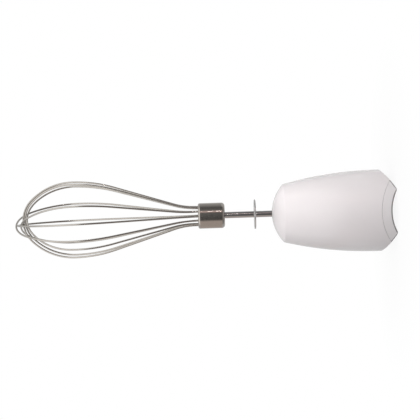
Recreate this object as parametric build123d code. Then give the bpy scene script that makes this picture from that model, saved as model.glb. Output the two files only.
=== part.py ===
"""Whisk attachment for a hand blender: a wire whisk that plugs into a small planetary gearbox.

Every size is in millimetres. The axis of the whole object is Z. The open mouth that takes the
motor handle is at the bottom, with its lowest points at Z = 0, and the wires are at the top.
X runs across the two release dips of the mouth, and Y runs from the front to the back.
"""
import os
from math import acos, asin, atan2, cos, hypot, pi, radians, sin, tan

from build123d import *

# Housing: a straight mouth, a long bowed flank, a crisp corner and a domed nose
body_radius = 29.0
straight_height = 12.8
corner_inset = 8.3
corner_drop = 8.1
corner_round = 1.5
nose_height = 85.9
shell_wall = 2.0
hollow_steps = 4
shell_ribs = 6
first_rib_turn = 30.0
shell_rib_thickness = 1.6

# Mouth rim, seen from the front: two peaks, a shallow dip between them, a deep dip at each side.
# An inset is measured in from the housing's widest radius.
peak_inset = 14.0
peak_round = 2.5
front_dip = 4.3
rim_middle_inset = 6.7
rim_middle_height = 4.65
side_dip = 9.75

# Seam between the shell and the lip of the coupling sleeve, also seen from the front
seam_crown = 11.2
seam_end_inset = 7.5
seam_end_height = 4.0
seam_gap = 0.15
lip_step = 0.15
lip_round = 0.6

# Coupling sleeve: the socket for the motor handle
sleeve_fit = 0.1
sleeve_wall = 2.3
socket_depth = 29.8
socket_ledge_height = 19.3
socket_ledge_width = 1.0
sleeve_floor = 2.5
latch_width = 12.0
latch_height = 4.0
latch_low = 14.8
latch_depth = 1.0
keyway_width = 3.0
keyway_depth = 0.8

# Gear train: a sun, three planets and a fixed ring. The room is what lies outside the ring's teeth.
gear_room = 8.8
sun_teeth = 12
planet_teeth = 18
planet_count = 3
pressure_angle = 25.0
tooth_backlash = 0.12
tooth_tip_gap = 0.2
gear_width = 9.5
gear_side_gap = 0.3

# Gear case and its cover
cover_thickness = 2.5
flange_thickness = 2.5
case_wall = 2.2
case_floor = 2.5
neck_wall = 2.2
screw_radius = 1.25
screw_length = 9.5
screw_head_radius = 2.3
screw_head_height = 1.6
screw_wall = 1.15
screw_inner_wall = 0.85
screw_fit = 0.05
boss_height = 5.5

# Input side: drive coupler, pinion shaft, bush and washer
coupler_radius = 7.5
coupler_length = 9.2
coupler_cavity_radius = 4.6
coupler_cavity_depth = 5.0
coupler_lobes = 6
coupler_lobe_radius = 1.3
input_shaft_radius = 2.5
input_shaft_grip = 3.7
input_bush_radius = 4.5
input_flange_radius = 6.0
input_flange_thickness = 0.8
input_washer_radius = 5.0
input_washer_thickness = 0.5
pinion_collar_radius = 3.6
pinion_collar_length = 1.5

# Output side: carrier, pins, bushes, grip ring and seal
carrier_gap = 2.6
carrier_thickness = 3.0
pin_radius = 2.0
keeper_thickness = 1.0
keeper_inner_wall = 2.5
keeper_outer_wall = 1.5
hub_radius = 6.0
hub_top_gap = 0.5
output_bush_wall = 2.2
output_bush_length = 6.5
thrust_washer_thickness = 0.4
grip_ring_share = 0.54
grip_ring_half = 0.8
seal_radius = 5.0
seal_thickness = 2.0
seal_cover = 0.8

# Fits: radial gaps between round parts
running_fit = 0.05
pressed_fit = 0.02

# Whisk: shaft, disc and ferrule. A share is a part of the length that the named piece lies in.
shaft_radius = 2.25
shaft_stand = 2.4
shaft_flat_share = 0.6
shaft_flat_width = 3.4
shaft_flat_gap = 0.1
shaft_chamfer = 0.5
shaft_groove_depth = 0.35
shaft_groove_width = 1.6
shaft_top_cover = 2.0
nose_hole_gap = 0.45
disc_stand = 12.1
disc_radius = 10.5
disc_thickness = 1.0
disc_edge = 0.25
ferrule_stand = 33.6
ferrule_length = 19.0
ferrule_radius = 9.1
ferrule_wall = 0.7
ferrule_foot_round = 2.3
ferrule_mouth_round = 1.3
lip_land = 0.3
core_recess = 1.6

# Wires: legs on a circle in the ferrule, a flare, a long bow and a round crown
wire_diameter = 1.3
wire_fit = 0.03
leg_circle = 6.6
leg_depth = 10.0
leg_stand = 1.8
balloon_radius = 26.85
balloon_stand = 88.8
crown_stand = 40.9
flare_radius = 51.4
bow_radius = 97.5
crown_radius = 20.5

# The whole set of loops is turned a little from the housing's front
whisk_turn = 2.2

# Each loop, outermost first: its turn about the axis and its lean to the side, in degrees, and how
# far its crown lies below the outermost crown, in wire diameters
wire_loops = [
    (60.3, -1.0, 0.0),
    (87.2, -1.2, 1.115),
    (118.7, -2.3, 2.65),
    (-3.1, 0.05, 3.85),
    (158.9, 0.0, 4.92),
    (33.3, 1.1, 6.0),
]

# The housing's outline, the rim and the socket follow from the widest radius
corner_radius = body_radius - corner_inset
corner_height = nose_height - corner_drop
flank_drop = body_radius - corner_radius
flank_radius = ((corner_height - straight_height) ** 2 + flank_drop**2) / (2 * flank_drop)
flank_x = body_radius - flank_radius
dome_radius = (corner_radius**2 + corner_drop**2) / (2 * corner_drop)
peak_offset = body_radius - peak_inset
rim_middle_offset = body_radius - rim_middle_inset
seam_end_offset = body_radius - seam_end_inset
socket_radius = body_radius - shell_wall - sleeve_fit - sleeve_wall

# Gear sizes follow from the teeth and from the room that the housing leaves
ring_teeth = sun_teeth + 2 * planet_teeth
ring_root_radius = body_radius - gear_room
gear_module = (ring_root_radius - tooth_tip_gap) / (ring_teeth / 2 + 1)
planet_offset = gear_module * (sun_teeth + planet_teeth) / 2
carrier_radius = ring_root_radius - carrier_gap
keeper_inner_radius = planet_offset - pin_radius - keeper_inner_wall
keeper_outer_radius = planet_offset + pin_radius + keeper_outer_wall
thrust_washer_radius = planet_offset - pin_radius
case_radius = ring_root_radius + case_wall
screw_circle = ring_root_radius + screw_radius + screw_inner_wall
bush_radius = hub_radius + running_fit + output_bush_wall
neck_radius = bush_radius + pressed_fit + neck_wall

# Heights of the gearbox, from the mouth to the nose
floor_top = socket_depth + sleeve_floor
cover_top = floor_top + cover_thickness
flange_top = cover_top + flange_thickness
pinion_foot = cover_top + input_flange_thickness + input_washer_thickness
gear_low = pinion_foot + pinion_collar_length
gear_high = gear_low + gear_width
carrier_low = gear_high + gear_side_gap
carrier_high = carrier_low + carrier_thickness
case_roof_low = carrier_high + thrust_washer_thickness
case_roof_high = case_roof_low + case_floor
neck_top = nose_height - shell_wall - seal_thickness - seal_cover
hub_top = neck_top - hub_top_gap

# Heights of the whisk: the shaft's foot stands in the hub, the rest above the nose
shaft_foot = carrier_high + shaft_stand
grip_ring_height = shaft_foot + grip_ring_share * (hub_top - shaft_foot)
shaft_flat_length = shaft_flat_share * (grip_ring_height - shaft_foot)
disc_height = nose_height + disc_stand
ferrule_foot = nose_height + ferrule_stand
ferrule_mouth = ferrule_foot + ferrule_length
core_top = ferrule_mouth - core_recess
balloon_height = ferrule_mouth + balloon_stand
crown_top = balloon_height + crown_stand

# Room left past a face by a cutting tool
cut_room = 5.0


def disc(radius, low, high):
    """A round slab about Z between two heights."""
    return Pos(0, 0, low) * Cylinder(radius, high - low, align=(Align.CENTER, Align.CENTER, Align.MIN))


def ring(outer, inner, low, high):
    """A disc with a hole right through it."""
    return disc(outer, low, high) - disc(inner, low - cut_room, high + cut_room)


def at(radius, angle):
    """A place at a radius and an angle in degrees about Z."""
    return Pos(radius * cos(radians(angle)), radius * sin(radians(angle)), 0)


def around(count, start=0.0):
    """The angles of evenly spaced copies about Z."""
    return [start + 360.0 * index / count for index in range(count)]


def form_corner(inset):
    """Where the flank's arc meets the dome's, as a radius and a height, with both moved in by inset."""
    flank = flank_radius - inset
    dome = dome_radius - inset
    dome_z = nose_height - dome_radius
    apart = hypot(flank_x, dome_z - straight_height)
    along = (flank**2 - dome**2 + apart**2) / (2 * apart)
    aside = (flank**2 - along**2) ** 0.5
    slope_x = -flank_x / apart
    slope_z = (dome_z - straight_height) / apart
    return (flank_x + along * slope_x - aside * slope_z, straight_height + along * slope_z + aside * slope_x)


def housing_form():
    """The housing's outer form as one solid."""
    corner = (corner_radius, corner_height)
    foot = -cut_room
    outline = [
        Line((0, foot), (body_radius, foot)),
        Line((body_radius, foot), (body_radius, straight_height)),
        TangentArc((body_radius, straight_height), corner, tangent=(0, 1)),
        TangentArc((0, nose_height), corner, tangent=(1, 0)),
        Line((0, nose_height), (0, foot)),
    ]
    return revolve(Plane.XZ * make_face(outline), axis=Axis.Z)


def hollow_form(inset):
    """The same form with straight steps in place of its arcs, for the faces that stay out of sight."""
    corner_x, corner_z = form_corner(inset)
    points = [(0, -cut_room), (body_radius - inset, -cut_room)]
    for step in range(hollow_steps + 1):
        rise = (corner_z - straight_height) * step / hollow_steps
        points.append((flank_x + ((flank_radius - inset) ** 2 - rise**2) ** 0.5, straight_height + rise))
    middle = corner_x / 2
    points.append((middle, nose_height - dome_radius + ((dome_radius - inset) ** 2 - middle**2) ** 0.5))
    points.append((0, nose_height - inset))
    return revolve(Plane.XZ * make_face(Polyline(*points, close=True)), axis=Axis.Z)


def rim_cutter():
    """What lies below the wavy rim of the mouth, with the rim's lowest points at Z = 0."""
    side = body_radius + cut_room
    foot = -2 * cut_room
    curve = Curve() + [
        ThreePointArc((-peak_offset, 0), (0, front_dip), (peak_offset, 0)),
        ThreePointArc((peak_offset, 0), (rim_middle_offset, rim_middle_height), (body_radius, side_dip)),
        Line((body_radius, side_dip), (side, side_dip)),
        Line((side, side_dip), (side, foot)),
        Line((side, foot), (-side, foot)),
        Line((-side, foot), (-side, side_dip)),
        Line((-side, side_dip), (-body_radius, side_dip)),
        ThreePointArc((-body_radius, side_dip), (-rim_middle_offset, rim_middle_height), (-peak_offset, 0)),
    ]
    face = make_face(curve)
    peaks = [v for v in face.vertices() if abs(abs(v.X) - peak_offset) < 0.01 and abs(v.Y) < 0.01]
    face = fillet(peaks, peak_round)
    rounds = [e for e in face.edges() if e.geom_type == GeomType.CIRCLE and e.radius < 2 * peak_round]
    lowest = min(e.bounding_box().min.Y for e in rounds)
    return extrude(Plane.XZ * (Pos(0, -lowest) * face), amount=body_radius + cut_room, both=True)


def seam_cutter(shift):
    """What lies below the seam of the shell, moved by a shift along Z."""
    foot = -2 * cut_room
    left = (-seam_end_offset, seam_end_height + shift)
    right = (seam_end_offset, seam_end_height + shift)
    curve = Curve() + [
        ThreePointArc(left, (0, seam_crown + shift), right),
        Line(right, (seam_end_offset, foot)),
        Line((seam_end_offset, foot), (-seam_end_offset, foot)),
        Line((-seam_end_offset, foot), left),
    ]
    return extrude(Plane.XZ * make_face(curve), amount=body_radius + cut_room, both=True)


def gear_face(teeth, tip, root, half_shift):
    """A spur gear's outline with one tooth on +X, its flanks arcs through three involute points.

    half_shift is added to each side of a tooth at the pitch circle: negative makes it thinner.
    """
    pitch = gear_module * teeth / 2
    base = pitch * cos(radians(pressure_angle))

    def unrolled(radius):
        turn = acos(min(1.0, base / radius))
        return tan(turn) - turn

    def side(radius):
        return pi / (2 * teeth) + half_shift / pitch + unrolled(pitch) - unrolled(max(radius, base))

    def place(radius, angle):
        return (radius * cos(angle), radius * sin(angle))

    start = max(root, base)
    middle = (start + tip) / 2
    edges = []
    for tooth in range(teeth):
        centre = 2 * pi * tooth / teeth
        following = 2 * pi * (tooth + 1) / teeth
        for hand in (-1, 1):
            low = place(start, centre + hand * side(start))
            via = place(middle, centre + hand * side(middle))
            high = place(tip, centre + hand * side(tip))
            edges.append(ThreePointArc(low, via, high))
            if root < base:
                edges.append(Line(place(root, centre + hand * side(start)), low))
        edges.append(Line(place(tip, centre - side(tip)), place(tip, centre + side(tip))))
        foot = min(root, start)
        edges.append(Line(place(foot, centre + side(start)), place(foot, following - side(start))))
    return make_face(edges)


def spur_gear(teeth):
    """An external gear's face, thinned for backlash."""
    pitch = gear_module * teeth / 2
    return gear_face(teeth, pitch + gear_module, pitch - gear_module - tooth_tip_gap, -tooth_backlash / 4)


def housing_shell():
    """The white outer shell: an even wall, inner ribs that hold the gear case, a boss at the nose."""
    hollow = hollow_form(shell_wall)
    form = housing_form()
    corner = form.edges().filter_by(Plane.XY).filter_by(GeomType.CIRCLE).sort_by(Axis.Z)[-1]
    shell = fillet(corner, corner_round) - hollow
    ribs = Part()
    for angle in around(shell_ribs, first_rib_turn):
        plate = Rot(0, 0, angle) * Pos(body_radius / 2, 0, 0) * Box(
            body_radius, shell_rib_thickness, nose_height - flange_top,
            align=(Align.CENTER, Align.CENTER, Align.MIN))
        ribs += Pos(0, 0, flange_top) * plate
    clear = case_radius + gear_side_gap
    ribs -= disc(clear, flange_top - cut_room, case_roof_high + gear_side_gap)
    ribs -= disc(neck_radius + gear_side_gap, flange_top, nose_height)
    boss = disc(neck_radius, neck_top, nose_height)
    shell += (ribs + boss) & hollow
    shell -= disc(seal_radius, neck_top - cut_room, neck_top + seal_thickness)
    shell -= disc(shaft_radius + nose_hole_gap, 0, nose_height + cut_room)
    return shell - rim_cutter() - seam_cutter(0)


def coupling_sleeve():
    """The socket for the motor: a floored tube inside the shell, with a lip that shows below it."""
    blank = hollow_form(shell_wall + sleeve_fit) - disc(body_radius + cut_room, floor_top, nose_height + cut_room)
    lip = disc(body_radius - lip_step, -cut_room, seam_crown) & seam_cutter(-seam_gap)
    sleeve = blank + lip
    sleeve -= disc(socket_radius, -2 * cut_room, socket_ledge_height)
    sleeve -= disc(socket_radius - socket_ledge_width, 0, socket_depth)
    for hand in (-1, 1):
        pocket_x = hand * (socket_radius + latch_depth - body_radius / 4)
        sleeve -= Pos(pocket_x, 0, latch_low + latch_height / 2) * Box(body_radius / 2, latch_width, latch_height)
        keyway_y = hand * (socket_radius + keyway_depth - body_radius / 4)
        sleeve -= Pos(0, keyway_y, 0) * Box(keyway_width, body_radius / 2, 2 * socket_ledge_height)
    sleeve -= disc(input_bush_radius + pressed_fit, 0, nose_height) + rim_cutter()
    dips = [Vector(0, hand * (body_radius - lip_step), front_dip) for hand in (-1, 1)]
    return fillet([sleeve.edges().sort_by_distance(dip)[0] for dip in dips], lip_round)


def screw_places():
    """Where the three cover screws stand about the axis."""
    return [at(screw_circle, angle) for angle in around(3)]


def gear_case():
    """The inner case: a flange, the ring gear's teeth, a roof and the long neck for the bushes."""
    case = disc(body_radius, cover_top, flange_top) + disc(case_radius, cover_top, case_roof_high)
    case &= hollow_form(shell_wall + sleeve_fit)
    for place in screw_places():
        case += place * disc(screw_radius + screw_wall, flange_top, flange_top + boss_height)
    case += disc(neck_radius, case_roof_high, neck_top)
    case -= disc(ring_root_radius + running_fit, cover_top - cut_room, gear_low)
    case -= disc(ring_root_radius + running_fit, gear_high, case_roof_low)
    case -= disc(bush_radius + pressed_fit, gear_high, neck_top + cut_room)
    pitch = gear_module * ring_teeth / 2
    space = gear_face(ring_teeth, ring_root_radius, pitch - gear_module, tooth_backlash / 4)
    half_tooth_turn = 180 / ring_teeth
    case -= Pos(0, 0, gear_low) * Rot(0, 0, half_tooth_turn) * extrude(space, amount=gear_width)
    for place in screw_places():
        case -= place * disc(screw_radius + screw_fit, cover_top - cut_room, floor_top + screw_length + screw_fit)
    return case


def gear_case_cover():
    """The plate that closes the gear case on the motor side."""
    cover = disc(body_radius, floor_top, cover_top) & hollow_form(shell_wall + sleeve_fit)
    cover -= disc(input_bush_radius + pressed_fit, floor_top - cut_room, cover_top + cut_room)
    for place in screw_places():
        cover -= place * disc(screw_radius + screw_fit, floor_top - cut_room, cover_top + cut_room)
        cover -= place * disc(screw_head_radius + screw_fit, floor_top - cut_room, floor_top + screw_head_height)
    return cover


def case_screws():
    """Three countersunk screws that hold the cover on the case."""
    screw = disc(screw_head_radius, floor_top, floor_top + screw_head_height)
    screw += disc(screw_radius, floor_top, floor_top + screw_length)
    screw -= Pos(0, 0, floor_top) * Box(screw_radius / 2, 3 * screw_radius, screw_head_height)
    screw -= Pos(0, 0, floor_top) * Box(3 * screw_radius, screw_radius / 2, screw_head_height)
    return Compound([place * screw for place in screw_places()])


def drive_coupler():
    """The cup that takes the motor's drive dog, with a lobed cavity open to the mouth."""
    top = socket_depth - gear_side_gap
    low = top - coupler_length
    coupler = disc(coupler_radius, low, top)
    coupler = chamfer(coupler.edges().filter_by(GeomType.CIRCLE), 0.6)
    cavity = Circle(coupler_cavity_radius)
    for angle in around(coupler_lobes):
        cavity += at(coupler_cavity_radius, angle) * Circle(coupler_lobe_radius)
    coupler -= Pos(0, 0, low) * extrude(cavity, amount=coupler_cavity_depth)
    return coupler - disc(input_shaft_radius + pressed_fit, top - input_shaft_grip, top + cut_room)


def sun_gear():
    """The steel pinion and its shaft."""
    gear = Pos(0, 0, gear_low) * extrude(spur_gear(sun_teeth), amount=gear_width)
    gear += disc(pinion_collar_radius, pinion_foot, gear_low)
    return gear + disc(input_shaft_radius, socket_depth - gear_side_gap - input_shaft_grip, gear_low)


def input_bush():
    """The flanged bush that the pinion shaft turns in."""
    bush = disc(input_bush_radius, socket_depth, cover_top)
    bush += disc(input_flange_radius, cover_top, cover_top + input_flange_thickness)
    return bush - disc(input_shaft_radius + running_fit, 0, nose_height)


def input_washer():
    """The thin washer between the bush and the pinion's collar."""
    low = cover_top + input_flange_thickness
    return ring(input_washer_radius, input_shaft_radius + running_fit, low, low + input_washer_thickness)


def planet_places():
    """Where the planets stand about the axis, each turned with its place."""
    return [Rot(0, 0, angle) * Pos(planet_offset, 0, 0) for angle in around(planet_count)]


def planet_gear():
    """One planet, with a gap between teeth facing the sun and another facing the ring."""
    half_tooth_turn = 180 / planet_teeth
    gear = Rot(0, 0, half_tooth_turn) * extrude(spur_gear(planet_teeth), amount=gear_width)
    return Pos(0, 0, gear_low) * gear - disc(pin_radius + running_fit, 0, nose_height)


def planet_pin():
    """One steel pin, from the keeper plate to the far side of the carrier's plate."""
    return disc(pin_radius, gear_low - gear_side_gap - keeper_thickness, carrier_high)


def planet_keeper():
    """The thin plate across the free ends of the pins."""
    high = gear_low - gear_side_gap
    keeper = ring(keeper_outer_radius, keeper_inner_radius, high - keeper_thickness, high)
    for place in planet_places():
        keeper -= place * disc(pin_radius + pressed_fit, 0, nose_height)
    return keeper


def flatted(radius, width, low, high):
    """A round bar with two flats."""
    return disc(radius, low, high) & Pos(0, 0, (low + high) / 2) * Box(3 * radius, width, high - low)


def planet_carrier():
    """The plate that holds the pins and the hub that drives the whisk's shaft."""
    carrier = disc(carrier_radius, carrier_low, carrier_high)
    carrier += disc(hub_radius, carrier_low, hub_top)
    for place in planet_places():
        carrier -= place * disc(pin_radius + pressed_fit, 0, nose_height)
    bore = shaft_radius + running_fit
    flats_top = shaft_foot + shaft_flat_length
    carrier -= flatted(bore, shaft_flat_width + shaft_flat_gap, shaft_foot, flats_top)
    carrier -= disc(bore, flats_top, nose_height)
    groove = shaft_radius + running_fit + 2 * grip_ring_half + pressed_fit
    half_groove = grip_ring_half + pressed_fit
    carrier -= disc(groove, grip_ring_height - half_groove, grip_ring_height + half_groove)
    return carrier


def thrust_washer():
    """The washer between the carrier's plate and the roof of the case."""
    return ring(thrust_washer_radius, hub_radius + running_fit, carrier_high, case_roof_low)


def grip_ring():
    """The rubber ring in the hub that grips the shaft."""
    inner = shaft_radius + running_fit
    band = ring(inner + 2 * grip_ring_half, inner, grip_ring_height - grip_ring_half, grip_ring_height + grip_ring_half)
    return chamfer(band.edges().filter_by(GeomType.CIRCLE), grip_ring_half / 2)


def output_bush(low):
    """A plain bush in the case's neck."""
    return ring(bush_radius, hub_radius + running_fit, low, low + output_bush_length)


def nose_seal():
    """The ring that keeps splashes out where the shaft enters the nose."""
    return ring(seal_radius - pressed_fit, shaft_radius + running_fit, neck_top, neck_top + seal_thickness)


def whisk_shaft():
    """The steel shaft: two drive flats at its foot, a groove for the grip ring, a plain top."""
    top = core_top - shaft_top_cover
    flats_top = shaft_foot + shaft_flat_length + shaft_flat_gap
    shaft = disc(shaft_radius, flats_top, top)
    foot = flatted(shaft_radius, shaft_flat_width, shaft_foot, flats_top)
    foot = chamfer(foot.edges().group_by(Axis.Z)[0], shaft_chamfer)
    shaft += foot
    half_groove = shaft_groove_width / 2
    return shaft - ring(shaft_radius + cut_room, shaft_radius - shaft_groove_depth,
                        grip_ring_height - half_groove, grip_ring_height + half_groove)


def drip_disc():
    """The thin steel disc part way up the shaft."""
    low = disc_height - disc_thickness / 2
    plate = ring(disc_radius, shaft_radius + pressed_fit, low, low + disc_thickness)
    rim = [e for e in plate.edges() if e.geom_type == GeomType.CIRCLE and e.radius > shaft_radius + cut_room]
    return chamfer(rim, disc_edge)


def ferrule():
    """The drawn steel cup that gathers the wires, its mouth rolled in to a smaller opening."""
    cup = disc(ferrule_radius, ferrule_foot, ferrule_mouth)
    circles = cup.edges().filter_by(GeomType.CIRCLE).sort_by(Axis.Z)
    cup = fillet(circles[0], ferrule_foot_round)
    circles = cup.edges().filter_by(GeomType.CIRCLE).sort_by(Axis.Z)
    cup = fillet(circles[-1], ferrule_mouth_round)
    inner = disc(ferrule_radius - ferrule_wall, ferrule_foot + ferrule_wall, core_top)
    circles = inner.edges().filter_by(GeomType.CIRCLE).sort_by(Axis.Z)
    inner = chamfer(circles[0], ferrule_foot_round - ferrule_wall)
    cup -= inner + disc(ferrule_radius - ferrule_mouth_round - lip_land, core_top, ferrule_mouth + cut_room)
    return cup - disc(shaft_radius + pressed_fit, 0, ferrule_mouth)


def loop_turned(turn, lean):
    """The move that sets a loop drawn in X and Z about the middle of the ferrule's mouth."""
    turned = Rot(0, 0, whisk_turn) * Rot(0, lean, 0) * Rot(0, 0, turn)
    return Pos(0, 0, ferrule_mouth) * turned * Pos(0, 0, -ferrule_mouth)


def ferrule_core():
    """The plug inside the ferrule, bored for the shaft and for each wire leg."""
    low = ferrule_foot + ferrule_wall
    core = disc(ferrule_radius - ferrule_wall - pressed_fit, low, core_top)
    circles = core.edges().filter_by(GeomType.CIRCLE).sort_by(Axis.Z)
    core = chamfer(circles[0], ferrule_foot_round - ferrule_wall + pressed_fit)
    core -= disc(shaft_radius + pressed_fit, 0, core_top - shaft_top_cover)
    leg_foot = core_top - leg_depth
    hole = disc(wire_diameter / 2 + wire_fit, leg_foot - wire_fit, core_top + cut_room)
    for turn, lean, _ in wire_loops:
        for hand in (-1, 1):
            core -= loop_turned(turn, lean) * Pos(hand * leg_circle, 0, 0) * hole
    return core


def wire_loop(turn, lean, crown_drop):
    """One wire, bent to its path of straight legs, flares, bows, sides and crown."""
    foot = core_top - leg_depth
    leave = ferrule_mouth + leg_stand
    crown_height = crown_top - crown_drop * wire_diameter
    across = balloon_radius - bow_radius - leg_circle - flare_radius
    up = balloon_height - leave
    slant = asin((bow_radius + flare_radius) / hypot(across, up)) - atan2(-across, up)
    flare_end = (leg_circle + flare_radius * (1 - cos(slant)), leave + flare_radius * sin(slant))
    bow_start = (balloon_radius - bow_radius * (1 - cos(slant)), balloon_height - bow_radius * sin(slant))
    rise = crown_height - balloon_height - crown_radius
    side_radius = (balloon_radius**2 + rise**2 - crown_radius**2) / (2 * (balloon_radius - crown_radius))
    meet = atan2(rise, side_radius - balloon_radius)
    crown_start = (crown_radius * cos(meet), balloon_height + rise + crown_radius * sin(meet))
    widest = (balloon_radius, balloon_height)
    half = [
        Line((leg_circle, foot), (leg_circle, leave)),
        TangentArc((leg_circle, leave), flare_end, tangent=(0, 1)),
        Line(flare_end, bow_start),
        TangentArc(bow_start, widest, tangent=(sin(slant), cos(slant))),
        TangentArc(widest, crown_start, tangent=(0, 1)),
    ]
    other = [mirror(edge, about=Plane.YZ) for edge in half]
    crown = ThreePointArc(crown_start, (0, crown_height), (-crown_start[0], crown_start[1]))
    path = Wire([edge.edge() for edge in half + other] + [crown.edge()])
    path = Plane.XZ * path
    section = Plane((leg_circle, 0, foot), z_dir=(0, 0, 1)) * Circle(wire_diameter / 2)
    return loop_turned(turn, lean) * sweep(section, path=path)


def all_nodes():
    """Every separate piece of the object under its own name."""
    nodes = {
        "housing_shell": housing_shell(),
        "coupling_sleeve": coupling_sleeve(),
        "gear_case": gear_case(),
        "gear_case_cover": gear_case_cover(),
        "case_screws": case_screws(),
        "input_bush": input_bush(),
        "input_washer": input_washer(),
        "drive_coupler": drive_coupler(),
        "sun_gear": sun_gear(),
        "planet_keeper": planet_keeper(),
        "planet_carrier": planet_carrier(),
        "thrust_washer": thrust_washer(),
        "grip_ring": grip_ring(),
        "output_bush_lower": output_bush(case_roof_low),
        "output_bush_upper": output_bush(neck_top - output_bush_length),
        "nose_seal": nose_seal(),
        "whisk_shaft": whisk_shaft(),
        "drip_disc": drip_disc(),
        "ferrule": ferrule(),
        "ferrule_core": ferrule_core(),
    }
    planet = planet_gear()
    pin = planet_pin()
    for number, place in enumerate(planet_places(), start=1):
        nodes[f"planet_gear_{number}"] = place * planet
        nodes[f"planet_pin_{number}"] = place * pin
    for number, (turn, lean, crown_drop) in enumerate(wire_loops, start=1):
        nodes[f"wire_loop_{number}"] = wire_loop(turn, lean, crown_drop)
    return nodes


if __name__ == "__main__":
    os.makedirs("parts", exist_ok=True)
    for name, shape in all_nodes().items():
        export_step(shape, f"parts/{name}.step")
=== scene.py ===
"""A whisk attachment for a hand blender: its finishes, soft light and a camera.

Lengths are in metres and the axis of the object is Z, with the open mouth of the housing at Z = 0.
"""
from math import pi, radians

import bpy
from mathutils import Euler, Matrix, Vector

bl_info = {
    "name": "Whisk attachment",
    "version": (1, 0, 0),
    "blender": (4, 5, 0),
    "location": "3D View > Sidebar > Whisk",
    "description": "Dresses a whisk attachment for a hand blender and lights it",
    "category": "Object",
}

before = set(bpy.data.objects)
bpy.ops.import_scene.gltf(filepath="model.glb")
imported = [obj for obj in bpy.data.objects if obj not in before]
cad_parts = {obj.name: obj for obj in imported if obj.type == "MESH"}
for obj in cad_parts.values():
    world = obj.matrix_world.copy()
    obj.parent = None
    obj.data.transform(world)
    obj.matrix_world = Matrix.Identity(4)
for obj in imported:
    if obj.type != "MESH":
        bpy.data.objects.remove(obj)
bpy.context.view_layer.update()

WHITE = (1.0, 1.0, 1.0, 1.0)
CENTRE = (0.0, 0.0, 0.0)

# Sockets that have no name of their own, or share it with another one on the same node
OBJECT_COORDINATES = 3
CAMERA_RAY, GLOSSY_RAY, TRANSMISSION_RAY = 0, 3, 6
MIX_FACTOR, MIX_FIRST, MIX_SECOND, MIX_RESULT = 0, 6, 7, 2

# Arcs seen from the front, in X and Z: the seam, the rim's dip between its peaks and its slope past a peak
SEAM_CENTRE = (0.0, 0.0, -0.02450)
SEAM_RADIUS = 0.03570
SEAM_WIDTH = 0.0003
DIP_CENTRE = (0.0, 0.0, -0.02401)
DIP_RADIUS = 0.02831
SLOPE_CENTRE = (-0.03628, 0.0, 0.08856)
SLOPE_RADIUS = 0.10233

# The painted shadow along the rim ends so many of its widths from the edge, and is narrower on the slopes
RIM_WIDTH = 0.0005
RIM_REACH = 1.6
SLOPE_NARROWING = 2.0

# How much of the plastic's colour is left in the painted shade of the seam and in the painted shadow along
# the rim
SEAM_SHADE_TONE = 0.62
RIM_SHADE_TONE = 0.26

# What is taken off a roughness before the noises add to it
GLOSS_LIFT = 0.04
MATTE_LIFT = 0.08
STEEL_LIFT = 0.08

# How far a noise is stretched, and what is then taken off it, so that only its peaks are left
RUB_PEAKS = (3.0, 1.6)
MARK_PEAKS = (4.0, 2.3)

# Fine lines in the metals, in cells for each metre along X, Y and Z
ALONG_AXIS = (2600.0, 2600.0, 30.0)
ROUND_AXIS = (60.0, 60.0, 5200.0)
WIRE_LINES = (900.0, 900.0, 120.0)
ZINC_GRAIN = (900.0, 900.0, 900.0)
BRONZE_GRAIN = (1500.0, 1500.0, 1500.0)
DISC_GRAIN = (500.0, 500.0, 500.0)

# What the polished steel mirrors: tones by the angle about Z in degrees, from the front towards +X
BACK_TONE = 0.72
MIRRORED = (
    (-180.0, BACK_TONE),
    (-150.0, BACK_TONE),
    (-138.0, (0.66, 0.60, 0.56)),
    (-52.0, (0.66, 0.58, 0.54)),
    (-44.0, (0.40, 0.36, 0.34)),
    (-34.0, (0.13, 0.125, 0.12)),
    (-20.0, 0.12),
    (8.0, 0.17),
    (24.0, 0.19),
    (31.0, (0.30, 0.26, 0.25)),
    (36.0, (0.95, 0.74, 0.72)),
    (45.0, (0.75, 0.60, 0.58)),
    (51.0, 0.27),
    (66.0, 0.18),
    (82.0, 0.16),
    (96.0, 0.32),
    (112.0, 0.48),
    (135.0, 0.55),
    (150.0, BACK_TONE),
    (180.0, BACK_TONE),
)

# The mirrored wall is round and stands about the axis, and WALL_HEIGHT is where its middle is
WALL_RADIUS = 1.6
WALL_DEPTH = 2.6
WALL_HEIGHT = 1.0
WALL_SIDES = 96

# In front, the wall is light from this height up, over this fade
LIGHT_FROM = 0.17
LIGHT_FADE = 0.07
LIGHT_TONE = (1.5, 1.48, 1.46)

# How much of the light tone the wall has beside the object, and how much more for each metre forward
LIGHT_BESIDE = 0.2
LIGHT_FORWARD = 2.0

# The low sheet is an even grey near the axis, and further out it goes over to the wall's tones
SHEET_GREY = (0.34, 0.335, 0.33)
SHEET_NEAR = 0.24
SHEET_FADE = 0.14
SHEET_RADIUS = 1.6
SHEET_HEIGHT = 0.0004
SHEET_SIDES = 64

# Behind the object the sheet has the back's tone, apart from a strip along the middle
BACK_GAIN = 25.0
STRIP_HALF = 0.014
STRIP_GAIN = 120.0

# The floor: its grey in the light that it gives back, its grey as it is seen, and the grey of its specks
FLOOR_SIZE = 12.0
FLOOR_GREY = 0.18
FLOOR_SEEN = 0.85
SPECK_GREY = 0.5
SPECK_SHARE = 0.06

# How much of the seen floor is plain white: this share at the axis, and so much more for each metre away
CLEAR_SHARE = 0.9
CLEAR_GAIN = 0.8

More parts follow.
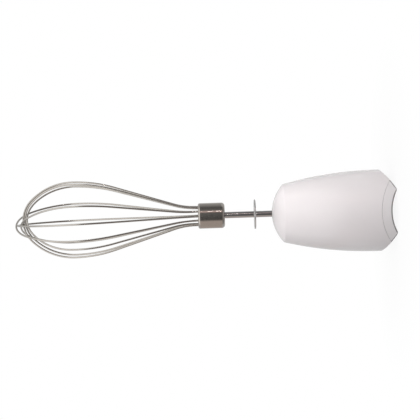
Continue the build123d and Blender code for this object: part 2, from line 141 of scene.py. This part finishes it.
# Lamps: where each one stands, the point that it faces, and its width and height
KEY_LAMP = ((0.12, -0.95, 0.52), (0.0, 0.0, 0.2), (0.4, 0.4))
SIDE_LAMP = ((1.0, -0.35, 0.42), (0.0, 0.0, 0.1), (0.4, 0.4))
SPARK_LAMP = ((0.9, -1.05, 0.117), (0.0, 0.0, 0.06), (0.1, 0.002))
GLINT_LAMP = ((0.9, -1.05, 0.09), (0.0, 0.0, 0.04), (0.04, 0.008))
KEY_COLOUR = (1.0, 0.95, 0.96)
SIDE_COLOUR = (1.0, 0.97, 0.97)
SMALL_LAMP_COLOUR = (1.0, 0.95, 0.94)
KEY_BEAM = 36.0
OPEN_BEAM = 180.0


def grey_or_colour(value):
    """Four channels from a grey or from three channels."""
    if isinstance(value, (int, float)):
        return (value, value, value, 1.0)
    return (*value, 1.0)


def shade(colour, factor):
    """A colour made lighter or darker, with full alpha."""
    return tuple(min(1.0, channel * factor) for channel in colour[:3]) + (1.0,)


class Field:
    """A socket that Python's own operators join with Math nodes."""

    def __init__(self, maker, socket):
        self.maker = maker
        self.socket = socket

    def math(self, operation, *others):
        """A Math node on this socket and others."""
        inputs = dict(enumerate((self,) + others))
        return self.maker.node("ShaderNodeMath", {"operation": operation}, inputs)[0]

    def __add__(self, other):
        return self.math("ADD", other)

    __radd__ = __add__

    def __sub__(self, other):
        return self.math("SUBTRACT", other)

    def __rsub__(self, other):
        return (self * -1) + other

    def __mul__(self, other):
        return self.math("MULTIPLY", other)

    __rmul__ = __mul__

    def __abs__(self):
        return self.math("ABSOLUTE")

    def clamp(self, low=0.0, high=1.0):
        """The field held between two values."""
        return self.math("MAXIMUM", low).math("MINIMUM", high)

    def peaks(self, gain, start):
        """Only the highest parts of the field."""
        return (self * gain - start).clamp()


class Maker:
    """Makes the nodes of one material or world."""

    def __init__(self, tree):
        self.tree = tree
        tree.nodes.clear()

    def node(self, kind, settings=None, inputs=None):
        """A node with its settings made and its sockets filled or linked. Returns its outputs."""
        made = self.tree.nodes.new(kind)
        for name, value in (settings or {}).items():
            if name == "stops":
                self.set_stops(made.color_ramp, value)
            else:
                setattr(made, name, value)
        for name, value in (inputs or {}).items():
            if isinstance(value, Field):
                self.tree.links.new(value.socket, made.inputs[name])
            else:
                made.inputs[name].default_value = value
        return [Field(self, socket) for socket in made.outputs]

    def set_stops(self, ramp, stops):
        """Fills a colour ramp, whose first and last stops are there already."""
        for element, (place, colour) in zip(ramp.elements, (stops[0], stops[-1])):
            element.position = place
            element.color = grey_or_colour(colour)
        for place, colour in stops[1:-1]:
            ramp.elements.new(place).color = grey_or_colour(colour)

    def place(self, scale=(1.0, 1.0, 1.0)):
        """Object coordinates, stretched by a scale."""
        where = self.node("ShaderNodeTexCoord")[OBJECT_COORDINATES]
        return self.node("ShaderNodeMapping", None, {"Vector": where, "Scale": scale})[0]

    def distance(self, where, centre):
        """How far a point lies from a centre."""
        return self.node("ShaderNodeVectorMath", {"operation": "DISTANCE"}, {0: where, 1: centre})[1]

    def noise(self, where, scale, detail=2.0, roughness=0.5):
        """A noise with about so many cells to the metre."""
        inputs = {"Vector": where, "Scale": scale, "Detail": detail, "Roughness": roughness}
        return self.node("ShaderNodeTexNoise", None, inputs)[0]

    def blend(self, mask, first, second):
        """A colour between two colours."""
        inputs = {MIX_FACTOR: mask, MIX_FIRST: first, MIX_SECOND: second}
        return self.node("ShaderNodeMix", {"data_type": "RGBA"}, inputs)[MIX_RESULT]

    def bump(self, height, strength, distance):
        """A normal that a height field bends."""
        inputs = {"Height": height, "Strength": strength, "Distance": distance}
        return self.node("ShaderNodeBump", None, inputs)[0]

    def surface(self, inputs):
        """A Principled shader."""
        return self.node("ShaderNodeBsdfPrincipled", None, inputs)[0]

    def glow(self, tone):
        """A shader that shows a tone as it is, whatever the light."""
        return self.node("ShaderNodeEmission", None, {"Color": tone, "Strength": 1.0})[0]

    def seen(self):
        """1 for what the camera sees, also in metal or through glass, and 0 for the light on other things."""
        ray = self.node("ShaderNodeLightPath")
        return (ray[CAMERA_RAY] + ray[GLOSSY_RAY] + ray[TRANSMISSION_RAY]).clamp()

    def finish(self, shader):
        """Joins a shader to the material's output."""
        self.node("ShaderNodeOutputMaterial", None, {"Surface": shader})


def material(name):
    """An empty material and its maker."""
    made = bpy.data.materials.new(name)
    made.use_nodes = True
    return made, Maker(made.node_tree)


def gloss_plastic(name, colour, roughness, rim_shade_strength=0.0):
    """Moulded gloss plastic: a faint ripple, fine dust in the sheen, painted shade in the seam and a painted
    shadow along the rim.

    The last argument is how strong the painted shadow along the rim is.
    """
    made, maker = material(name)
    where = maker.place()
    tone = maker.noise(where, scale=28.0, detail=3.0)
    ripple = maker.noise(where, scale=420.0)
    dust = maker.noise(where, scale=1900.0, detail=3.0, roughness=0.7)
    # Both halves of the front are alike, so a point is folded over to +X, and its depth left out
    part = maker.node("ShaderNodeSeparateXYZ", None, {0: where})
    folded = maker.node("ShaderNodeCombineXYZ", None, {0: abs(part[0]), 2: part[2]})[0]
    from_seam = maker.distance(folded, SEAM_CENTRE) - SEAM_RADIUS
    # A thin line of painted shade in the seam between shell and sleeve
    seam = (1.0 - abs(from_seam) * (1 / SEAM_WIDTH)).clamp()
    from_dip = maker.distance(folded, DIP_CENTRE) - DIP_RADIUS
    from_slope = SLOPE_RADIUS - maker.distance(folded, SLOPE_CENTRE)
    from_rim = from_dip.math("MINIMUM", from_slope * SLOPE_NARROWING)
    # A dark line painted along the rim's rounded edge: painted shadow where the lip faces down
    rim = (RIM_REACH - from_rim * (1 / RIM_WIDTH)).clamp() * rim_shade_strength
    clean = maker.blend(tone, shade(colour, 0.975), shade(colour, 1.0))
    # The dust noise mottles the painted shade of the seam and the painted shadow along the rim
    painted_seam_shade = seam * (dust * 0.3 + 0.1)
    painted_rim_shade = rim * (dust * 0.2 + 0.8)
    # The base colour darkens by the painted shade of the seam, then by the painted shadow along the rim
    seam_shaded = maker.blend(painted_seam_shade, clean, shade(colour, SEAM_SHADE_TONE))
    maker.finish(maker.surface({
        "Base Color": maker.blend(painted_rim_shade, seam_shaded, shade(colour, RIM_SHADE_TONE)),
        "Roughness": (dust * 0.08 + (roughness - GLOSS_LIFT) + tone * 0.05).clamp(),
        "Normal": maker.bump(ripple, strength=0.12, distance=0.0002),
        "IOR": 1.5,
        "Specular IOR Level": 0.5,
        "Coat Weight": 0.5,
        "Coat Roughness": 0.1,
    }))
    return made


def matte_plastic(name, colour, roughness):
    """Plain moulded plastic with a fine spark-eroded grain and a few paler rubs."""
    made, maker = material(name)
    where = maker.place()
    grain = maker.noise(where, scale=2600.0, detail=3.0, roughness=0.6)
    tone = maker.noise(where, scale=60.0, detail=3.0)
    rubs = maker.noise(where, scale=240.0, detail=4.0).peaks(*RUB_PEAKS)
    base = maker.blend(tone, shade(colour, 0.92), shade(colour, 1.05))
    maker.finish(maker.surface({
        "Base Color": maker.blend(rubs * 0.3, base, shade(colour, 1.2)),
        "Roughness": (grain * 0.18 + (roughness - MATTE_LIFT)).clamp(),
        "Normal": maker.bump(grain, strength=0.35, distance=0.00006),
        "IOR": 1.48,
    }))
    return made


def steel(name, colour, roughness, lines, wear, depth=0.12):
    """Bare metal with drawn or turned lines.

    lines is how close together the lines are along X, Y and Z, wear is how much the surface is marked,
    and depth is how strongly the lines bend the light.
    """
    made, maker = material(name)
    drawn = maker.noise(maker.place(lines), scale=1.0, detail=3.0, roughness=0.6)
    where = maker.place()
    film = maker.noise(where, scale=55.0, detail=3.0, roughness=0.6)
    marks = maker.noise(where, scale=700.0, detail=4.0, roughness=0.65).peaks(*MARK_PEAKS)
    tint = maker.blend(film, shade(colour, 0.93), shade(colour, 1.05))
    polish = drawn * 0.1 + film * 0.06 + marks * (0.15 * wear) + (roughness - STEEL_LIFT)
    maker.finish(maker.surface({
        "Base Color": maker.blend(marks * wear, tint, shade(colour, 0.72)),
        "Roughness": polish.clamp(0.03),
        "Normal": maker.bump(drawn, strength=depth, distance=0.00002),
        "Metallic": 1.0,
    }))
    return made


def rubber(name, colour):
    """Matt black rubber with a dusty bloom."""
    made, maker = material(name)
    bloom = maker.noise(maker.place(), scale=320.0, detail=4.0, roughness=0.6)
    maker.finish(maker.surface({
        "Base Color": maker.blend(bloom, shade(colour, 0.8), shade(colour, 1.7)),
        "Roughness": (bloom * 0.2 + 0.55).clamp(),
        "Normal": maker.bump(bloom, strength=0.3, distance=0.00005),
    }))
    return made


class WhiskPlastics(bpy.types.PropertyGroup):
    """Colours and sheen of the plastics."""

    shell: bpy.props.FloatVectorProperty(
        name="Shell", description="Colour of the gloss shell",
        subtype="COLOR", default=(0.885, 0.85, 0.857))
    sleeve: bpy.props.FloatVectorProperty(
        name="Sleeve", description="Colour of the socket and its lip",
        subtype="COLOR", default=(0.85, 0.825, 0.83))
    case: bpy.props.FloatVectorProperty(
        name="Case", description="Colour of the gear case",
        subtype="COLOR", default=(0.5, 0.51, 0.52))
    coupler: bpy.props.FloatVectorProperty(
        name="Coupler", description="Colour of the drive coupler",
        subtype="COLOR", default=(0.05, 0.05, 0.055))
    gear: bpy.props.FloatVectorProperty(
        name="Gears", description="Colour of the plastic gears",
        subtype="COLOR", default=(0.78, 0.76, 0.68))
    core: bpy.props.FloatVectorProperty(
        name="Core", description="Colour of the plug in the ferrule",
        subtype="COLOR", default=(0.62, 0.61, 0.59))
    rubber: bpy.props.FloatVectorProperty(
        name="Rubber", description="Colour of the seals",
        subtype="COLOR", default=(0.03, 0.03, 0.032))
    sheen: bpy.props.FloatProperty(
        name="Gloss roughness", description="Roughness of the gloss plastic",
        default=0.17, min=0.0, max=1.0)


class WhiskMetals(bpy.types.PropertyGroup):
    """Colours and polish of the metals."""

    steel: bpy.props.FloatVectorProperty(
        name="Steel", description="Colour of the shaft and disc",
        subtype="COLOR", default=(0.46, 0.455, 0.45))
    ferrule: bpy.props.FloatVectorProperty(
        name="Ferrule", description="Colour of the ferrule",
        subtype="COLOR", default=(0.42, 0.39, 0.36))
    wire: bpy.props.FloatVectorProperty(
        name="Wire", description="Colour of the wires",
        subtype="COLOR", default=(0.42, 0.40, 0.37))
    zinc: bpy.props.FloatVectorProperty(
        name="Zinc", description="Colour of plated steel",
        subtype="COLOR", default=(0.62, 0.63, 0.65))
    bronze: bpy.props.FloatVectorProperty(
        name="Bronze", description="Colour of the bushes",
        subtype="COLOR", default=(0.52, 0.34, 0.17))
    polish: bpy.props.FloatProperty(
        name="Polish", description="Roughness of the polished steel",
        default=0.08, min=0.0, max=1.0)


class WhiskStage(bpy.types.PropertyGroup):
    """Camera, lamps and the even light."""

    distance: bpy.props.FloatProperty(
        name="Distance", description="From the camera to the object's axis",
        default=0.9, unit="LENGTH")
    height: bpy.props.FloatProperty(
        name="Height", description="Height of the camera",
        default=0.1299, unit="LENGTH")
    aside: bpy.props.FloatProperty(
        name="Aside", description="Distance of the camera from the axis along X",
        default=0.00404, unit="LENGTH")
    field: bpy.props.FloatProperty(
        name="Field", description="Width of the view at the object's axis",
        default=0.29946, unit="LENGTH")
    swing: bpy.props.FloatProperty(
        name="Swing", description="Turn of the camera about the object's axis from the front",
        default=radians(2.2), subtype="ANGLE")
    roll: bpy.props.FloatProperty(
        name="Roll", description="Turn of the picture, in which the object lies on its side",
        default=radians(91.86), subtype="ANGLE")
    sky: bpy.props.FloatProperty(
        name="Sky", description="Strength of the even light from all sides",
        default=0.68, min=0.0)
    key: bpy.props.FloatProperty(
        name="Key", description="Power of the soft lamp in front, whose beam leaves out the mouth",
        default=0.32, min=0.0)
    side: bpy.props.FloatProperty(
        name="Side", description="Power of the soft lamp at the side",
        default=3.0, min=0.0)
    spark: bpy.props.FloatProperty(
        name="Spark", description="Power of the small lamp that gives the bright dot on the ferrule",
        default=0.015, min=0.0)
    glint: bpy.props.FloatProperty(
        name="Glint", description="Power of the small lamp that gives the light streak on the shaft",
        default=0.05, min=0.0)


def dress(finish, *nodes):
    """Gives CAD nodes one finish."""
    for name in nodes:
        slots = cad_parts[name].data.materials
        slots.clear()
        slots.append(finish)


class WHISK_OT_housing(bpy.types.Operator):
    """Finish the gloss shell and the coupling sleeve"""

    bl_idname = "whisk.housing"
    bl_label = "Housing"

    def execute(self, context):
        plastics = context.scene.whisk_plastics
        dress(gloss_plastic("shell_white", plastics.shell, plastics.sheen), "housing_shell")
        sleeve_sheen = plastics.sheen + 0.06
        # The sleeve alone gets the painted shadow along the rim
        dress(gloss_plastic("sleeve_white", plastics.sleeve, sleeve_sheen, rim_shade_strength=1.0), "coupling_sleeve")
        return {"FINISHED"}


class WHISK_OT_gear_case(bpy.types.Operator):
    """Finish the gear case, its cover, bushes and screws"""

    bl_idname = "whisk.gear_case"
    bl_label = "Gear case"

    def execute(self, context):
        plastics = context.scene.whisk_plastics
        metals = context.scene.whisk_metals
        dress(matte_plastic("case_grey", plastics.case, roughness=0.55), "gear_case", "gear_case_cover")
        dress(steel("zinc_steel", metals.zinc, roughness=0.35, lines=ZINC_GRAIN, wear=0.5),
              "case_screws", "input_washer", "planet_keeper", "thrust_washer")
        dress(steel("bronze", metals.bronze, roughness=0.4, lines=BRONZE_GRAIN, wear=0.6),
              "input_bush", "output_bush_lower", "output_bush_upper")
        dress(rubber("seal_rubber", plastics.rubber), "nose_seal", "grip_ring")
        return {"FINISHED"}


class WHISK_OT_gear_train(bpy.types.Operator):
    """Finish the coupler, the pinion, the planets and their carrier"""

    bl_idname = "whisk.gear_train"
    bl_label = "Gear train"

    def execute(self, context):
        plastics = context.scene.whisk_plastics
        metals = context.scene.whisk_metals
        dress(matte_plastic("coupler_plastic", plastics.coupler, roughness=0.45), "drive_coupler")
        dress(steel("gear_steel", metals.steel, roughness=0.28, lines=ROUND_AXIS, wear=0.5),
              "sun_gear", "planet_pin_1", "planet_pin_2", "planet_pin_3")
        dress(matte_plastic("gear_plastic", plastics.gear, roughness=0.4),
              "planet_gear_1", "planet_gear_2", "planet_gear_3", "planet_carrier")
        return {"FINISHED"}


class WHISK_OT_shaft(bpy.types.Operator):
    """Finish the drawn steel shaft and the stamped disc on it"""

    bl_idname = "whisk.shaft"
    bl_label = "Shaft and disc"

    def execute(self, context):
        metals = context.scene.whisk_metals
        shaft_polish = metals.polish + 0.02
        dress(steel("shaft_steel", metals.steel, shaft_polish, lines=ALONG_AXIS, wear=0.25, depth=0.01),
              "whisk_shaft")
        dress(steel("disc_steel", shade(metals.steel, 1.1), roughness=0.24, lines=DISC_GRAIN, wear=0.3),
              "drip_disc")
        return {"FINISHED"}


class WHISK_OT_ferrule(bpy.types.Operator):
    """Finish the polished ferrule and its plug"""

    bl_idname = "whisk.ferrule"
    bl_label = "Ferrule"

    def execute(self, context):
        plastics = context.scene.whisk_plastics
        metals = context.scene.whisk_metals
        dress(steel("ferrule_steel", metals.ferrule, metals.polish, lines=ROUND_AXIS, wear=0.2, depth=0.012),
              "ferrule")
        dress(matte_plastic("core_plastic", plastics.core, roughness=0.5), "ferrule_core")
        return {"FINISHED"}


class WHISK_OT_wires(bpy.types.Operator):
    """Finish the six wire loops"""

    bl_idname = "whisk.wires"
    bl_label = "Wire loops"

    def execute(self, context):
        metals = context.scene.whisk_metals
        wire_polish = metals.polish + 0.06
        finish = steel("wire_steel", metals.wire, wire_polish, lines=WIRE_LINES, wear=0.2, depth=0.04)
        dress(finish, *[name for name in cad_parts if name.startswith("wire_loop_")])
        return {"FINISHED"}


def lamp(name, place, target, size, power, colour, beam=OPEN_BEAM, mirrored=False):
    """A flat lamp that faces a point. beam is its width in degrees, and mirrored lets metal show it."""
    light = bpy.data.lights.new(name, "AREA")
    light.shape = "RECTANGLE"
    light.size, light.size_y = size
    light.energy = power
    light.color = colour
    light.spread = radians(beam)
    made = bpy.data.objects.new(name, light)
    made.visible_glossy = mirrored
    made.location = place
    made.rotation_euler = (Vector(target) - Vector(place)).to_track_quat("-Z", "Y").to_euler()
    bpy.context.scene.collection.objects.link(made)


def pale_floor():
    """A white floor that the camera sees as the background, with the object's soft shadow on it."""
    bpy.ops.mesh.primitive_plane_add(size=FLOOR_SIZE)
    floor = bpy.context.object
    floor.name = "floor"
    made, maker = material("floor_white")
    seen = maker.seen()
    where = maker.place()
    speck = maker.noise(where, scale=900.0)
    away = maker.distance(where, CENTRE)
    lit = maker.blend(seen, grey_or_colour(FLOOR_GREY), grey_or_colour(FLOOR_SEEN))
    specked = maker.blend(speck * SPECK_SHARE, lit, grey_or_colour(SPECK_GREY))
    plain = maker.node("ShaderNodeBsdfDiffuse", None, {"Color": specked})[0]
    clear = seen * (away * CLEAR_GAIN + CLEAR_SHARE).clamp()
    maker.finish(maker.node("ShaderNodeMixShader", None, {0: clear, 1: plain, 2: maker.glow(WHITE)})[0])
    floor.data.materials.append(made)


def room_tone(maker):
    """The three coordinates of a point, and the tone that the room has at its angle about Z."""
    across = maker.node("ShaderNodeSeparateXYZ", None, {0: maker.place()})
    share = across[0].math("ARCTAN2", across[1] * -1) * (1 / (2 * pi)) + 0.5
    stops = [(angle / 360.0 + 0.5, tone) for angle, tone in MIRRORED]
    return across, maker.node("ShaderNodeValToRGB", {"stops": stops}, {0: share})[0]


def hang_screen(made, tone):
    """Makes the new object a screen that gives off a tone of its material, and that only reflections show."""
    tone.maker.finish(tone.maker.glow(tone))
    screen = bpy.context.object
    screen.name = made.name
    screen.data.materials.append(made)
    screen.visible_camera = False
    screen.visible_diffuse = False
    screen.visible_shadow = False
    screen.visible_transmission = False


def mirrored_wall():
    """A round wall with the tones of the photographer's room, light in front above the low dark part."""
    bpy.ops.mesh.primitive_cylinder_add(
        vertices=WALL_SIDES, radius=WALL_RADIUS, depth=WALL_DEPTH,
        end_fill_type="NOTHING", location=(0, 0, WALL_HEIGHT))
    made, maker = material("mirrored_wall")
    across, tone = room_tone(maker)
    lift = ((across[2] + (WALL_HEIGHT - LIGHT_FROM)) * (1 / LIGHT_FADE)).clamp()
    front = (across[1] * -LIGHT_FORWARD + LIGHT_BESIDE).clamp()
    high = maker.blend(front, grey_or_colour(BACK_TONE), grey_or_colour(LIGHT_TONE))
    hang_screen(made, maker.blend(lift, tone, high))


def mirrored_sheet():
    """A low dark sheet under the object."""
    bpy.ops.mesh.primitive_circle_add(
        vertices=SHEET_SIDES, radius=SHEET_RADIUS, fill_type="NGON", location=(0, 0, SHEET_HEIGHT))
    made, maker = material("mirrored_sheet")
    across, tone = room_tone(maker)
    far = ((maker.distance(maker.place(), CENTRE) - SHEET_NEAR) * (1 / SHEET_FADE)).clamp()
    tone = maker.blend(far, grey_or_colour(SHEET_GREY), tone)
    beside = ((abs(across[0]) - STRIP_HALF) * STRIP_GAIN).clamp()
    behind = (across[1] * BACK_GAIN).clamp() * beside
    hang_screen(made, maker.blend(behind, tone, grey_or_colour(BACK_TONE)))


def even_world(sky):
    """A world that lights all sides evenly at the strength sky, and looks white."""
    world = bpy.data.worlds.new("even_white")
    world.use_nodes = True
    maker = Maker(world.node_tree)
    strength = maker.seen() * (1.0 - sky) + sky
    back = maker.node("ShaderNodeBackground", None, {"Color": WHITE, "Strength": strength})[0]
    maker.node("ShaderNodeOutputWorld", None, {"Surface": back})
    return world


def turned_camera(stage):
    """A camera that looks at the object from the front, turned so that the object lies on its side."""
    camera = bpy.data.objects.new("camera", bpy.data.cameras.new("camera"))
    camera.data.lens = camera.data.sensor_width * stage.distance / stage.field
    camera.location = Vector((stage.aside, -stage.distance, stage.height))
    camera.location.rotate(Euler((0.0, 0.0, stage.swing)))
    camera.rotation_euler = (pi / 2, stage.roll, stage.swing)
    return camera


class WHISK_OT_stage(bpy.types.Operator):
    """Set up the floor, the lamps, the world and the camera"""

    bl_idname = "whisk.stage"
    bl_label = "Stage"

    def execute(self, context):
        scene = context.scene
        stage = scene.whisk_stage
        bpy.ops.object.select_all(action="DESELECT")
        pale_floor()
        mirrored_wall()
        mirrored_sheet()
        lamp("key", *KEY_LAMP, stage.key, KEY_COLOUR, beam=KEY_BEAM)
        lamp("side", *SIDE_LAMP, stage.side, SIDE_COLOUR)
        lamp("spark", *SPARK_LAMP, stage.spark, SMALL_LAMP_COLOUR, mirrored=True)
        lamp("glint", *GLINT_LAMP, stage.glint, SMALL_LAMP_COLOUR, mirrored=True)
        scene.world = even_world(stage.sky)
        scene.camera = turned_camera(stage)
        scene.collection.objects.link(scene.camera)
        scene.view_settings.view_transform = "Standard"
        return {"FINISHED"}


class WHISK_PT_panel(bpy.types.Panel):
    """The pieces of the whisk attachment"""

    bl_idname = "WHISK_PT_panel"
    bl_label = "Whisk attachment"
    bl_space_type = "VIEW_3D"
    bl_region_type = "UI"
    bl_category = "Whisk"

    def draw(self, context):
        for piece in OPERATORS:
            self.layout.operator(piece.bl_idname)
        for name, kind in GROUPS.items():
            for setting in kind.__annotations__:
                self.layout.prop(getattr(context.scene, name), setting)


GROUPS = {"whisk_plastics": WhiskPlastics, "whisk_metals": WhiskMetals, "whisk_stage": WhiskStage}
OPERATORS = (
    WHISK_OT_housing,
    WHISK_OT_gear_case,
    WHISK_OT_gear_train,
    WHISK_OT_shaft,
    WHISK_OT_ferrule,
    WHISK_OT_wires,
    WHISK_OT_stage,
)


def register():
    for name, group in GROUPS.items():
        bpy.utils.register_class(group)
        setattr(bpy.types.Scene, name, bpy.props.PointerProperty(type=group))
    for piece in OPERATORS:
        bpy.utils.register_class(piece)
    bpy.utils.register_class(WHISK_PT_panel)


def unregister():
    bpy.utils.unregister_class(WHISK_PT_panel)
    for piece in reversed(OPERATORS):
        bpy.utils.unregister_class(piece)
    for name, group in GROUPS.items():
        delattr(bpy.types.Scene, name)
        bpy.utils.unregister_class(group)


def main():
    register()
    bpy.ops.whisk.housing()
    bpy.ops.whisk.gear_case()
    bpy.ops.whisk.gear_train()
    bpy.ops.whisk.shaft()
    bpy.ops.whisk.ferrule()
    bpy.ops.whisk.wires()
    bpy.ops.whisk.stage()


if __name__ == "__main__":
    main()
